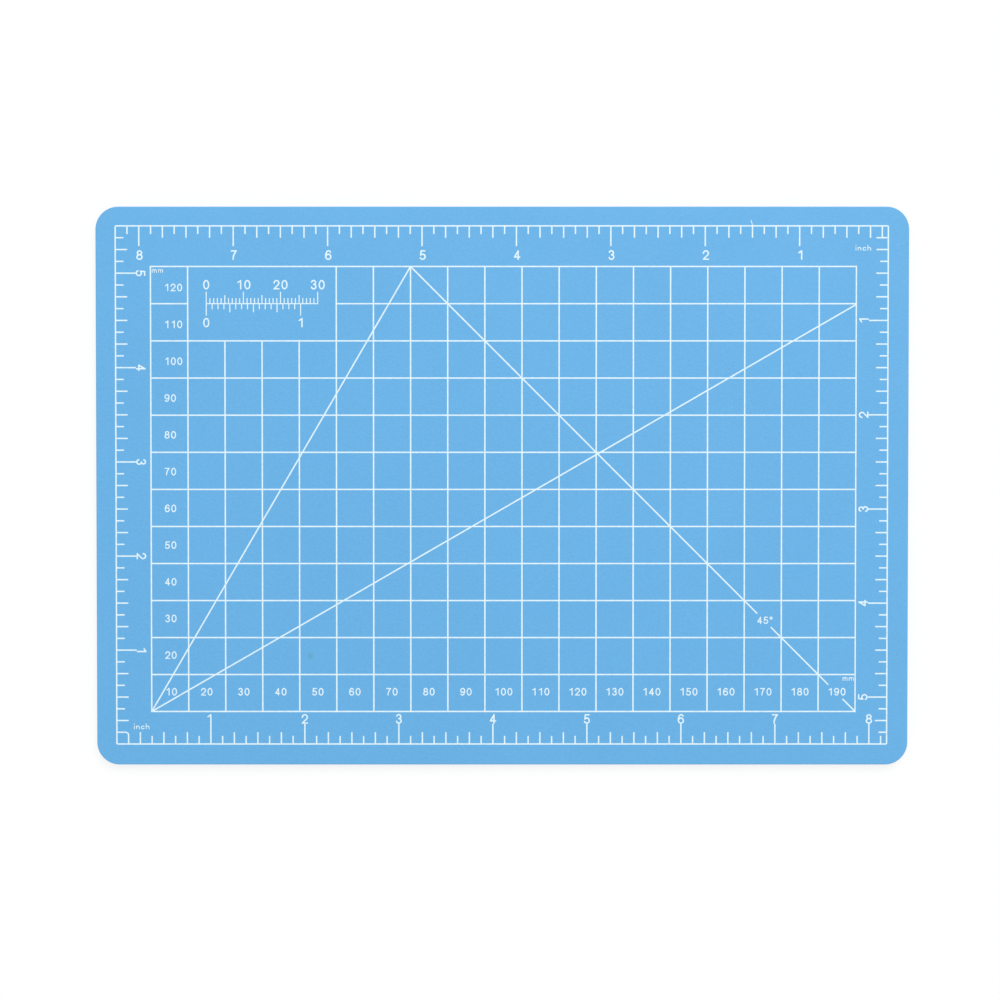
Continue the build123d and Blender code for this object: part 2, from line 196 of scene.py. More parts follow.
class MatPrintSizes(PropertyGroup):
    """Sizes of the print on the top skin."""

    line_width: metres("Width of the printed lines", 0.00038)
    ink_rim: metres("Softened rim of the ink film", 0.000014)
    frame_corner: metres("Rounding of the frame's corners", 0.00045)
    loop_corner: metres("Inner radius of the loop in the corner", 0.00065)
    inch: metres("Length of a printed inch", 0.0254)
    divisions: IntProperty(description="Ticks to the inch", default=8, min=2)
    short_tick: metres("Reach of an eighth-inch tick", 0.0022)
    medium_tick: metres("Reach of a quarter-inch tick", 0.0032)
    long_tick: metres("Reach of an inch tick", 0.00545)
    right_long_tick: metres("Reach of an inch tick at the right", 0.00515)
    cell: metres("Side of one cell of the grid", 0.01)
    panel_columns: IntProperty(description="Cells across the panel", default=4)
    panel_rows: IntProperty(description="Cells up the panel", default=2)
    inch_numeral: metres("Height of the inch numerals", 0.00267)
    top_numeral_gap: metres("From the top ticks to their numerals", 0.00105)
    top_numeral_shift: metres("Of the top numerals to the right", 0.00017)
    grid_numeral: metres("Height of the millimetre numerals", 0.0021)
    numeral_lift: metres("Above the middle of a cell", 0.00034)
    first_numeral_shift: metres("Of the row's first to the right", 0.00028)
    two_digit_shift: metres("Of the row's tens to the right", -0.00013)
    column_offset: metres("Of the column numerals from mid cell", 0.00134)
    column_creep: metres("By which their pitch is under a cell", 0.00009)
    mark_height: metres("Height of the unit marks", 0.00156)
    label_height: metres("Height of the diagonal's label", 0.002)
    label_gap: metres("Gap in the diagonal at its label", 0.0052)
    numeral_gap: metres("Gap in the diagonal at the last numeral", 0.0054)
    spur_tick: IntProperty(description="Number of the top tick with a spur", default=54)
    spur_reach: metres("Reach of the spur out of the frame", 0.0016)
    spur_lean: metres("Lean of its tip to the left", 0.00045)
    spur_bow: metres("Bow of its middle to the right", 0.00004)
    spur_width: metres("Width of the spur", 0.0002)
    rule_line: metres("Line width of the rule in the panel", 0.00028)
    rule_fine: metres("Reach of its finest ticks", 0.0015)
    rule_half: metres("Reach of its middle ticks", 0.0023)
    rule_long: metres("Reach of its long ticks", 0.0032)
    rule_numeral: metres("Height of its numerals", 0.0026)
    rule_numeral_gap: metres("From its long ticks to the numerals", 0.0006)


class MatFinish(PropertyGroup):
    """Colours and surface grain."""

    skin_colour: colour_property("Blue of the outer skins", (0.125, 0.43, 0.78))
    healing_colour: colour_property("Blue of the soft layers", (0.05, 0.2, 0.45))
    core_colour: colour_property("Milky blue of the rigid sheet", (0.32, 0.55, 0.72))
    ink_colour: colour_property("White of the print", (0.77, 0.93, 0.98))
    smudge_colour: colour_property("Grey green of the small stain", (0.105, 0.36, 0.5))
    smudge_place: metres("Middle of the stain, from the mat's middle", (-0.0519, -0.0458))
    smudge_radius: metres("Reach of the stain", 0.0011)
    rub_place: metres("Middle of the pale rub, from the mat's middle", (0.1064, 0.0651))
    rub_reach: metres("Reach of the rub along and across itself", (0.0013, 0.0004))
    rub_turn: FloatProperty(
        description="Turn of the rub from the X axis", default=math.radians(50), subtype="ANGLE"
    )
    grain_size: metres("Size of the pebbles", 0.0003)
    grain_depth: metres("Depth of the pebbles", 0.00005)


class MatStage(PropertyGroup):
    """Floor, light and camera."""

    floor_radius: metres("Radius of the pale floor", 6.0)
    camera_distance: metres("From the camera to the mat", 0.6)
    camera_tilt: FloatProperty(
        description="Lean to the mat's far side", default=math.radians(1.15), subtype="ANGLE"
    )
    view_width: metres("Width of the picture at the mat's face", 0.26965)
    aim: metres("What the camera looks at, from the mat's middle", (-0.00062, -0.0037))
    ambient: FloatProperty(description="Strength of the even light", default=0.72)
    key: FloatProperty(description="Power of the large lamp in watts", default=20.0)


class MatSettings(PropertyGroup):
    """All that a user may change."""

    sheet: PointerProperty(type=MatSheetSizes)
    marks: PointerProperty(type=MatPrintSizes)
    finish: PointerProperty(type=MatFinish)
    stage: PointerProperty(type=MatStage)


def settings():
    """The add-on's settings in this scene."""
    return bpy.context.scene.cutting_mat


# ---- flat drawing ----


def spoke(angle):
    """The direction at this angle from the X axis."""
    return Vector((math.cos(angle), math.sin(angle)))


def rectangle(left, bottom, right, top):
    """The corners of an upright rectangle, anticlockwise."""
    corners = ((left, bottom), (right, bottom), (right, top), (left, top))
    return [Vector(corner) for corner in corners]


def rounded_rectangle(left, bottom, right, top, radius, steps=CORNER_STEPS):
    """The points of a rectangle with rounded corners, anticlockwise."""
    corners = ((right, top), (left, top), (left, bottom), (right, bottom))
    insets = ((-1, -1), (1, -1), (1, 1), (-1, 1))
    points = []
    for quarter, ((x, y), (in_x, in_y)) in enumerate(zip(corners, insets)):
        centre = Vector((x + in_x * radius, y + in_y * radius))
        for step in range(steps + 1):
            angle = (quarter + step / steps) * math.pi / 2
            points.append(centre + radius * spoke(angle))
    return points


def corner_plate(start, size, radius):
    """A square from its lower left corner, with only its far corner rounded, anticlockwise."""
    end = start + Vector((size, size))
    shape = rounded_rectangle(*start, *end, radius)
    rounded = shape[: len(shape) // 4]
    return [*rounded, Vector((start.x, end.y)), start, Vector((end.x, start.y))]


def disc(centre, radius):
    """The points of a pen's round end, anticlockwise."""
    turns = [2 * math.pi * side / ROUND_END_SIDES for side in range(ROUND_END_SIDES)]
    return [centre + radius * spoke(turn) for turn in turns]


def arc_points(start, through, end):
    """Points on the arc from start through a second point to end, with both ends."""
    ab, ac = through - start, end - start
    twice_area = 2 * ab.cross(ac)
    offset_x = (ac.y * ab.length_squared - ab.y * ac.length_squared) / twice_area
    offset_y = (ab.x * ac.length_squared - ac.x * ab.length_squared) / twice_area
    centre = start + Vector((offset_x, offset_y))
    radius = (start - centre).length
    first = math.atan2(start.y - centre.y, start.x - centre.x)
    last = math.atan2(end.y - centre.y, end.x - centre.x)
    sweep = (last - first) % (2 * math.pi)
    if twice_area < 0:
        sweep -= 2 * math.pi
    steps = max(2, math.ceil(abs(sweep) / ARC_STEP))
    angles = [first + sweep * step / steps for step in range(1, steps)]
    inner = [centre + radius * spoke(angle) for angle in angles]
    return [start, *inner, end]


def ribbon(points, width):
    """Four-sided pieces of a line of that width through the points."""
    runs = [(after - before).normalized() for before, after in zip(points, points[1:])]
    rims = []
    for index, point in enumerate(points):
        before = runs[max(index - 1, 0)]
        after = runs[min(index, len(runs) - 1)]
        middle = (before + after).normalized()
        side = middle.orthogonal() * (width / 2 / middle.dot(after))
        rims.append((point + side, point - side))
    return [[a[1], b[1], b[0], a[0]] for a, b in zip(rims, rims[1:])]


def ring_pieces(x, y, radius_x, radius_y, width):
    """Four-sided pieces of an oval ring."""
    centre = Vector((x, y))
    inner, outer = [Vector((radius_x + s, radius_y + s)) for s in (-width / 2, width / 2)]
    ways = [spoke(2 * math.pi * side / RING_SIDES) for side in range(RING_SIDES)]
    rims = [(centre + way * inner, centre + way * outer) for way in ways]
    return [[a[0], a[1], b[1], b[0]] for a, b in zip(rims, rims[1:] + rims[:1])]


def pen_pieces(stroke, width):
    """The pieces of one stroke of a round pen."""
    here = Vector(stroke[0])
    pieces = [disc(here, width / 2)]
    for step in stroke[1:]:
        there = Vector(step[-2:])
        path = [here, there] if len(step) == 2 else arc_points(here, Vector(step[:2]), there)
        pieces += ribbon(path, width)
        pieces.append(disc(there, width / 2))
        here = there
    return pieces


def merged(shapes, cutters=(), grain=FILM_MERGE):
    """One flat area, as points and triangles: what the shapes cover and the cutters leave."""
    points, rings = [], []
    for shape in (*shapes, *cutters):
        rings.append(list(range(len(points), len(points) + len(shape))))
        points += shape
    points, _, faces, _, _, owners = geometry.delaunay_2d_cdt(points, [], rings, 0, grain)
    last = len(shapes) - 1
    return points, [face for face, owner in zip(faces, owners) if owner and max(owner) <= last]


def glyph(key):
    """One glyph of height 1, as a flat area."""
    pen = LETTER_PEN if key.isalpha() else DIGIT_PEN
    shapes = [piece for ring in RINGS.get(key, []) for piece in ring_pieces(*ring, pen)]
    shapes += [piece for stroke in STROKES.get(key, []) for piece in pen_pieces(stroke, pen)]
    return merged(shapes, grain=GLYPH_MERGE)


def moved(area, height, x, y, turn=0.0, start=0.0):
    """The area scaled, shifted along its own line of writing, turned and placed."""
    points, faces = area
    place, shift, along = Matrix.Rotation(turn, 2), Vector((x, y)), Vector((start, 0))
    return [shift + place @ (point * height + along) for point in points], faces


def glyph_gap(text):
    """The gap between the glyphs of a text of height 1."""
    return LETTER_GAP if text.isalpha() else DIGIT_GAP


def text_width(text):
    """The width of a text of height 1."""
    widths = [LETTER_WIDTH.get(key, DIGIT_WIDTH) for key in text]
    return sum(widths) + (len(text) - 1) * glyph_gap(text)


def write(text, height, x, y, turn=0.0):
    """The areas of a text, centred on x and standing on y, turned about that point."""
    areas = []
    start = -text_width(text) * height / 2
    for key in text:
        areas.append(moved(glyph(key), height, x, y, turn, start))
        start += (LETTER_WIDTH.get(key, DIGIT_WIDTH) + glyph_gap(text)) * height
    return areas


# ---- solids ----


def place_object(name, data):
    """A new object in the scene."""
    thing = bpy.data.objects.new(name, data)
    bpy.context.scene.collection.objects.link(thing)
    return thing


def built_mesh(name, shape):
    """The mesh of a shape that is finished with."""
    mesh = bpy.data.meshes.new(name)
    shape.to_mesh(mesh)
    shape.free()
    return mesh


def add_piece(name, mesh, material, slot, *nodes):
    """Puts a finished mesh in the scene, in place of these nodes of the frame."""
    piece = place_object(name, mesh)
    mesh.materials.append(material)
    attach(piece, BODY)
    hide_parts(*nodes)


def ink_film(node, areas):
    """Lays the areas on the top skin as one closed film of ink with softened rims."""
    low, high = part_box(node)
    rim = settings().marks.ink_rim
    film = bmesh.new()
    for points, faces in areas:
        used = sorted({index for face in faces for index in face})
        corners = {index: film.verts.new((*points[index], low.z)) for index in used}
        for face in faces:
            film.faces.new([corners[index] for index in face])
    bmesh.ops.recalc_face_normals(film, faces=film.faces)
    lifted = bmesh.ops.extrude_face_region(film, geom=film.faces[:], use_keep_orig=True)["geom"]
    upper = [part for part in lifted if isinstance(part, bmesh.types.BMVert)]
    bmesh.ops.translate(film, verts=upper, vec=(0, 0, high.z - low.z - rim))
    lid = [part for part in lifted if isinstance(part, bmesh.types.BMFace)]
    bmesh.ops.recalc_face_normals(film, faces=film.faces)
    inset = {"thickness": rim, "depth": rim, "use_boundary": True, "use_even_offset": True}
    bmesh.ops.inset_region(film, faces=lid, **inset)
    mesh = built_mesh(node + "_ink", film)
    add_piece("ink_" + node, mesh, ink_finish(), "white_ink", node)


def ply_mesh(name, low, high, radius, profile):
    """A closed sheet with rounded corners, whose side follows (inset, height) from low to high."""
    sheet = bmesh.new()
    loops = []
    for inset, height in profile:
        sides = (low.x + inset, low.y + inset, high.x - inset, high.y - inset)
        edge = rounded_rectangle(*sides, radius - inset, SHEET_CORNER_STEPS)
        loops.append([sheet.verts.new((point.x, point.y, height)) for point in edge])
    for below, above in zip(loops, loops[1:]):
        for index in range(len(below)):
            after = (index + 1) % len(below)
            side = sheet.faces.new((below[index], below[after], above[after], above[index]))
            side.smooth = True
    sheet.faces.new(reversed(loops[0]))
    sheet.faces.new(loops[-1])
    bmesh.ops.remove_doubles(sheet, verts=sheet.verts, dist=SHEET_MERGE)
    mesh = built_mesh(name, sheet)
    mesh.set_sharp_from_angle(angle=SHARP_ANGLE)
    return mesh


def rim_profile(low_z, high_z, low_round, high_round, inset):
    """The side of a ply: up from a rounded lower rim to a rounded upper one."""
    turns = [step / RIM_STEPS * math.pi / 2 for step in range(RIM_STEPS + 1)]
    curve = [(1 - math.sin(turn), 1 - math.cos(turn)) for turn in turns]
    lower = [(inset + low_round * side, low_z + low_round * rise) for side, rise in curve]
    upper = [(inset + high_round * rise, high_z - high_round * side) for side, rise in curve]
    return lower + upper


# ---- node trees that lay out what repeats ----


def open_layout(name, numbers, sizes):
    """A new geometry node tree with these inputs, its group input and its group output."""
    tree = bpy.data.node_groups.new(name, "GeometryNodeTree")
    tree.interface.new_socket("Geometry", in_out="OUTPUT", socket_type="NodeSocketGeometry")
    kinds = (("Int", numbers), ("Float", sizes), ("Material", ["Ink"]))
    for kind, labels in kinds:
        for label in labels:
            tree.interface.new_socket(label, in_out="INPUT", socket_type="NodeSocket" + kind)
    return tree, tree.nodes.new("NodeGroupInput"), tree.nodes.new("NodeGroupOutput")


def feed(tree, socket, value):
    """Links another socket to this input, or sets it to a number, a vector or a colour."""
    if isinstance(value, NodeSocket):
        tree.links.new(value, socket)
    else:
        socket.default_value = (*value, 1) if socket.type == "RGBA" else value


def wired(tree, kind, inputs, output=0, **options):
    """An output of a new node with these options, its inputs fed by name or number."""
    node = tree.nodes.new(kind)
    for option, value in options.items():
        setattr(node, option, value)
    for key, value in inputs.items():
        feed(tree, node.inputs[key], value)
    return node.outputs[output]


def calculate(tree, operation, first, second):
    """A maths node's result, from sockets or numbers."""
    return wired(tree, "ShaderNodeMath", {0: first, 1: second}, operation=operation)


def combine(tree, x=0.0, y=0.0, z=0.0):
    """A vector from sockets or numbers."""
    return wired(tree, "ShaderNodeCombineXYZ", {0: x, 1: y, 2: z})


def unit_stroke(tree):
    """A flat square of side 1 that stands on the X axis."""
    square = wired(tree, "GeometryNodeMeshGrid", {"Vertices X": 2, "Vertices Y": 2})
    standing = {"Geometry": square, "Translation": (0, 0.5, 0)}
    return wired(tree, "GeometryNodeTransform", standing)


def row_of_strokes(tree, count, start, pitch, size):
    """Strokes of that size, one on each point of a row."""
    points = {"Count": count, "Start Location": start, "Offset": pitch}
    row = wired(tree, "GeometryNodeMeshLine", points, mode="OFFSET")
    strokes = {"Points": row, "Instance": unit_stroke(tree), "Scale": size}
    return wired(tree, "GeometryNodeInstanceOnPoints", strokes)


def close_layout(tree, given, end, rows):
    """Joins the rows, makes them real and gives them the ink."""
    join = tree.nodes.new("GeometryNodeJoinGeometry")
    for row in rows:
        tree.links.new(row, join.inputs["Geometry"])
    real = wired(tree, "GeometryNodeRealizeInstances", {"Geometry": join.outputs["Geometry"]})
    inked = {"Geometry": real, "Material": given.outputs["Ink"]}
    feed(tree, end.inputs["Geometry"], wired(tree, "GeometryNodeSetMaterial", inked))


def tick_layout():
    """A row of ticks along X: long on a whole unit, medium on a part of it, otherwise short."""
    name = "Ruler ticks"
    if name in bpy.data.node_groups:
        return bpy.data.node_groups[name]
    numbers = ("First", "Ticks", "Zero", "Whole", "Part")
    sizes = ("Pitch", "Start", "Width", "Long", "Medium", "Short")
    tree, given, end = open_layout(name, numbers, sizes)
    get, maths = given.outputs, partial(calculate, tree)
    number = maths("ADD", wired(tree, "GeometryNodeInputIndex", {}), get["First"])
    away = maths("ABSOLUTE", maths("SUBTRACT", number, get["Zero"]), 0)
    on_whole = maths("COMPARE", maths("MODULO", away, get["Whole"]), 0)
    on_part = maths("COMPARE", maths("MODULO", away, get["Part"]), 0)
    shorter = maths("SUBTRACT", get["Medium"], get["Short"])
    reach = maths("ADD", get["Short"], maths("MULTIPLY", on_part, shorter))
    longer = maths("SUBTRACT", get["Long"], reach)
    reach = maths("ADD", reach, maths("MULTIPLY", on_whole, longer))
    size = combine(tree, get["Width"], maths("SUBTRACT", reach, get["Start"]), 1.0)
    start = combine(tree, maths("MULTIPLY", get["First"], get["Pitch"]), get["Start"])
    row = row_of_strokes(tree, get["Ticks"], start, combine(tree, get["Pitch"]), size)
    close_layout(tree, given, end, [row])
    return tree


def grid_layout():
    """The lines of a grid from its lower left corner: full columns and full rows."""
    name = "Grid lines"
    if name in bpy.data.node_groups:
        return bpy.data.node_groups[name]
    tree, given, end = open_layout(name, ("Columns", "Rows"), ("Cell", "Width"))
    get, maths = given.outputs, partial(calculate, tree)
    back = maths("MULTIPLY", get["Width"], -0.5)
    span = maths("MULTIPLY", get["Columns"], get["Cell"])
    rise = maths("MULTIPLY", get["Rows"], get["Cell"])
    uprights = row_of_strokes(
        tree,
        maths("ADD", get["Columns"], 1),
        combine(tree, 0.0, back),
        combine(tree, get["Cell"]),
        combine(tree, get["Width"], maths("ADD", rise, get["Width"]), 1.0),
    )
    levels = row_of_strokes(
        tree,
        maths("ADD", get["Rows"], 1),
        combine(tree, maths("MULTIPLY", span, 0.5), back),
        combine(tree, 0.0, get["Cell"]),
        combine(tree, maths("ADD", span, get["Width"]), get["Width"], 1.0),
    )
    close_layout(tree, given, end, [uprights, levels])
    return tree


def laid_out(tree, values):
    """The flat shapes that a layout tree makes with these input values."""
    carrier = place_object("layout", bpy.data.meshes.new("layout"))
    maker = carrier.modifiers.new("layout", "NODES")
    maker.node_group = tree
    sockets = {item.name: item.identifier for item in tree.interface.items_tree}
    for label, value in (values | {"Ink": ink_finish()}).items():
        maker[sockets[label]] = value
    made = carrier.evaluated_get(bpy.context.evaluated_depsgraph_get())
    flat = bpy.data.meshes.new_from_object(made)
    carrier.modifiers.remove(maker)
    shapes = [[flat.vertices[index].co.xy for index in face.vertices] for face in flat.polygons]
    bpy.data.objects.remove(carrier)
    bpy.data.meshes.remove(flat)
    return shapes


def ruled(shapes, corner, along, inward):
    """Shapes drawn along X and up Y, moved to a corner and turned to these two directions."""
    mirrored = along.cross(inward) < 0
    turned = [[corner + along * point.x + inward * point.y for point in shape] for shape in shapes]
    return [shape[::-1] if mirrored else shape for shape in turned]


# ---- finishes ----


def new_finish(name, colour, roughness):
    """A node material: its tree, its shader and the shared Object coordinates."""
    finish = bpy.data.materials.new(name)
    finish.use_nodes = True
    tree = finish.node_tree
    shader = tree.nodes["Principled BSDF"]
    dressed(finish, shader, {"Base Color": colour, "Roughness": roughness})
    return finish, tree, shader, wired(tree, "ShaderNodeTexCoord", {}, "Object")


def dressed(finish, shader, looks):
    """The finish with its shader's inputs fed by name."""
    for label, value in looks.items():
        feed(finish.node_tree, shader.inputs[label], value)
    return finish


def cloud(tree, place, size, detail, stretch=(1, 1, 1)):
    """Noise whose clumps are about that many metres across."""
    scale = {"Vector": place, "Scale": [part / size for part in stretch]}
    scaled = wired(tree, "ShaderNodeMapping", scale)
    noise = {"Vector": scaled, "Scale": 1.0, "Detail": detail}
    return wired(tree, "ShaderNodeTexNoise", noise, "Fac")


def pebbles(tree, place, size):
    """Rounded cells about that many metres across."""
    cells = {"Vector": place, "Scale": 1 / size, "Smoothness": PEBBLE_SMOOTHNESS}
    return wired(tree, "ShaderNodeTexVoronoi", cells, "Distance", feature="SMOOTH_F1")


def spread(tree, value, low=0.0, high=1.0, span=(0.3, 0.7)):
    """The value, which runs over this span, stretched to run from low to high."""
    ends = {"From Min": span[0], "From Max": span[1], "To Min": low, "To Max": high}
    return wired(tree, "ShaderNodeMapRange", {"Value": value} | ends)


def tint(tree, factor, colour, other):
    """A mix of two colours by a factor, each a socket or a plain value."""
    node = tree.nodes.new("ShaderNodeMix")
    node.data_type = "RGBA"
    colours = [socket for socket in node.inputs if socket.type == "RGBA"]
    for socket, value in zip((node.inputs["Factor"], *colours), (factor, colour, other)):
        feed(tree, socket, value)
    return next(socket for socket in node.outputs if socket.type == "RGBA")


def relief(tree, height, depth, **under):
    """A bump from a height that runs from 0 to 1, over the Normal of another where given."""
    bump = {"Strength": 1.0, "Distance": depth, "Height": height}
    return wired(tree, "ShaderNodeBump", bump | under, "Normal")


def patch(tree, place, away, reach, turn, strength):
    """A soft oval patch: its strength at the middle and 0 from its rim outward."""
    centre = ((cad_box[0] + cad_box[1]) / 2).xy + Vector(away)
    flat = wired(tree, "ShaderNodeVectorMath", {0: place, 1: (1, 1, 0)}, operation="MULTIPLY")
    oval = {"Vector": flat, "Location": (*centre, 0), "Rotation": (0, 0, turn)}
    oval["Scale"] = (*reach, 1)
    inward = wired(tree, "ShaderNodeMapping", oval, vector_type="TEXTURE")
    distance = wired(tree, "ShaderNodeVectorMath", {0: inward}, "Value", operation="LENGTH")
    return spread(tree, distance, strength, 0.0, (PATCH_CORE, 1.0))


def shade(colour, amount):
    """The colour made darker or lighter by a share."""
    return tuple(min(1.0, part * amount) for part in colour)


def mottled(tree, factor, colour, share):
    """The colour that runs from darker to lighter by a share on either side."""
    return tint(tree, factor, shade(colour, 1 - share), shade(colour, 1 + share))


def skin_finish():
    """Matte embossed vinyl: fine pebbles, faint clouds of colour, a small stain and a rub."""
    name = "Matte blue vinyl"
    if name in bpy.data.materials:
        return bpy.data.materials[name]
    look = settings().finish
    skin = look.skin_colour
    finish, tree, shader, place = new_finish(name, skin, SKIN_ROUGHNESS)
    clouds = spread(tree, cloud(tree, place, CLOUD_SIZE, COLOUR_DETAIL))
    flecks = spread(tree, cloud(tree, place, FLECK_SIZE, COLOUR_DETAIL))
    broad = mottled(tree, clouds, skin, CLOUD_SHARE)
    colour = tint(tree, 0.5, broad, mottled(tree, flecks, skin, FLECK_SHARE))
    reach = (look.smudge_radius, look.smudge_radius)
    stained = patch(tree, place, look.smudge_place, reach, 0.0, STAIN_STRENGTH)
    colour = tint(tree, stained, colour, look.smudge_colour)
    worn = patch(tree, place, look.rub_place, look.rub_reach, look.rub_turn, RUB_STRENGTH)
    colour = tint(tree, worn, colour, shade(skin, RUB_BRIGHTNESS))
    sheen = spread(tree, cloud(tree, place, SHEEN_SIZE, SHEEN_DETAIL), *SHEEN_RANGE)
    grain = relief(tree, pebbles(tree, place, look.grain_size), look.grain_depth)
    bumps = relief(tree, flecks, look.grain_depth / 2, Normal=grain)
    return dressed(finish, shader, {"Base Color": colour, "Roughness": sheen, "Normal": bumps})


def cut_edge_finish(name, colour, roughness):
    """A soft ply as its die-cut edge shows it: drawn up and down by the blade."""
    if name in bpy.data.materials:
        return bpy.data.materials[name]
    finish, tree, shader, place = new_finish(name, colour, roughness)
    drawn = spread(tree, cloud(tree, place, DRAWN_SIZE, DRAWN_DETAIL, DRAWN_STRETCH))
    base = mottled(tree, drawn, colour, DRAWN_SHARE)
    looks = {"Base Color": base, "Normal": relief(tree, drawn, DRAWN_DEPTH)}
    return dressed(finish, shader, looks)


def ink_finish():
    """Screen-printed ink: the weave of the screen, and blue that shows where the film is thin."""
    name = "White screen ink"
    if name in bpy.data.materials:
        return bpy.data.materials[name]
    look = settings().finish
    finish, tree, shader, place = new_finish(name, look.ink_colour, INK_ROUGHNESS)
    thin = spread(tree, cloud(tree, place, THIN_SIZE, THIN_DETAIL), span=THIN_RANGE)
    both = zip(look.ink_colour, look.skin_colour)
    washed = [ink * (1 - THIN_SHARE) + skin * THIN_SHARE for ink, skin in both]
    weave = relief(tree, cloud(tree, place, WEAVE_SIZE, WEAVE_DETAIL), WEAVE_DEPTH)
    looks = {"Base Color": tint(tree, thin, look.ink_colour, washed), "Normal": weave}
    return dressed(finish, shader, looks)


# ---- places that follow from the frame ----


def centre_lines(node, half):
    """The middles of the outermost lines of a node: left, bottom, right and top."""
    low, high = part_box(node)
    return low.x + half, low.y + half, high.x - half, high.y - half


class PrintPlan:
    """Where the ruler frame, its ticks and the grid run, read from the frame's nodes."""

    def __init__(self):
        marks = settings().marks
        half = marks.line_width / 2
        self.left, self.bottom, self.right, self.top = centre_lines("ruler_frame", half)
        grid = centre_lines("centimetre_grid", half)
        self.grid_left, self.grid_bottom, self.grid_right, self.grid_top = grid
        self.columns = round((self.grid_right - self.grid_left) / marks.cell)
        self.rows = round((self.grid_top - self.grid_bottom) / marks.cell)
        self.pitch = marks.inch / marks.divisions
        self.ticks_x = self.tick_count("bottom_inch_ticks", 0)
        self.ticks_y = self.tick_count("left_inch_ticks", 1)
        self.top_zero = self.ticks_x + 1
        self.panel = rectangle(
            self.grid_left + marks.cell + half,
            self.grid_top - marks.panel_rows * marks.cell + half,
            self.grid_left + (1 + marks.panel_columns) * marks.cell - half,
            self.grid_top - half,
        )

    def tick_count(self, node, axis):
        """The number of the last tick of a side, from how far its node reaches."""
        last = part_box(node)[1][axis] - settings().marks.line_width / 2
        return round((last - (self.left, self.bottom)[axis]) / self.pitch)

    def grid_shapes(self):
        """The lines of the grid, each a flat shape."""
        marks = settings().marks
        values = {"Columns": self.columns, "Rows": self.rows}
        values |= {"Cell": marks.cell, "Width": marks.line_width}
        shapes = laid_out(grid_layout(), values)
        return ruled(shapes, Vector((self.grid_left, self.grid_bottom)), RIGHT, UP)

    def numbered_inches(self, node, height):
        """How many inch numerals a node holds, from its own length along the ruler."""
        low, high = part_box(node)
        return 1 + round((max(high.x - low.x, high.y - low.y) - height) / settings().marks.inch)


def inch_ticks(plan, first, last, corner, along, inward, zero=0, long_tick=None):
    """The ticks of one side of the ruler frame, as flat shapes."""
    marks = settings().marks
    line = marks.line_width
    values = {"First": first, "Ticks": last - first + 1, "Zero": zero, "Pitch": plan.pitch}
    values |= {"Whole": marks.divisions, "Part": QUARTER_EIGHTHS, "Start": line / 2, "Width": line}
    values |= {"Long": long_tick or marks.long_tick, "Medium": marks.medium_tick}
    values["Short"] = marks.short_tick
    return ruled(laid_out(tick_layout(), values), Vector(corner), along, inward)


# ---- operators ----


class BuildPlies(Operator):
    """Builds the two skins, the two healing layers and the rigid core"""

    bl_idname = "cutting_mat.plies"
    bl_label = "Plies"

    def execute(self, context):
        sizes = settings().sheet
        look = settings().finish
        seam = sizes.seam_round
        soft = cut_edge_finish("Deep blue healing vinyl", look.healing_colour, HEALING_ROUGHNESS)
        stiff = cut_edge_finish("Milky blue core sheet", look.core_colour, CORE_ROUGHNESS)
        plies = (
            ("bottom_skin", skin_finish(), "blue_skin", sizes.bottom_round, seam, 0.0),
            ("lower_healing_layer", soft, "healing_layer", seam, seam, sizes.inner_setback),
            ("rigid_core", stiff, "core_sheet", seam, seam, sizes.inner_setback / 2),
            ("upper_healing_layer", soft, "healing_layer", seam, seam, sizes.inner_setback),
            ("top_skin", skin_finish(), "blue_skin", seam, sizes.top_round, 0.0),
        )
        for node, finish, slot, low_round, high_round, inset in plies:
            low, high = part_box(node)
            profile = rim_profile(low.z, high.z, low_round, high_round, inset)
            mesh = ply_mesh(node + "_sheet", low, high, sizes.corner_radius, profile)
            add_piece(node + "_sheet", mesh, finish, slot, node)
        return {"FINISHED"}


class PrintStep:
    """What the printing steps share: each lays its ink by the sizes and the plan"""

    def execute(self, context):
        self.lay(settings().marks, PrintPlan())
        return {"FINISHED"}


class PrintRulerFrame(PrintStep, Operator):
    """Prints the ruler frame and the loop in its corner"""

    bl_idname = "cutting_mat.ruler_frame"
    bl_label = "Ruler frame"

    def lay(self, marks, plan):
        half = marks.line_width / 2
        sides = (plan.left - half, plan.bottom - half, plan.right + half, plan.top + half)
        outer = rounded_rectangle(*sides, marks.frame_corner)
        start = Vector((plan.left + half, plan.bottom + half))
        inner = rectangle(*start, plan.right - half, plan.top - half)
        ink_film("ruler_frame", [merged([outer, *self.spur(marks, plan)], [inner])])
        outside = corner_plate(start, plan.pitch, marks.loop_corner + marks.line_width)
        inside = corner_plate(start, plan.pitch - marks.line_width, marks.loop_corner)
        ink_film("corner_loop", [merged([outside], [inside])])

    def spur(self, marks, plan):
        """A hair of ink that ran out of the top line above one tick and curls back into it."""
        root = Vector((plan.left + marks.spur_tick * plan.pitch, plan.top))
        tip = root + Vector((-marks.spur_lean, marks.spur_reach))
        bend = (root + tip) / 2 + Vector((marks.spur_bow, 0))
        path = arc_points(tip, bend, root + Vector((marks.line_width / 4, 0)))
        return ribbon(path, marks.spur_width)


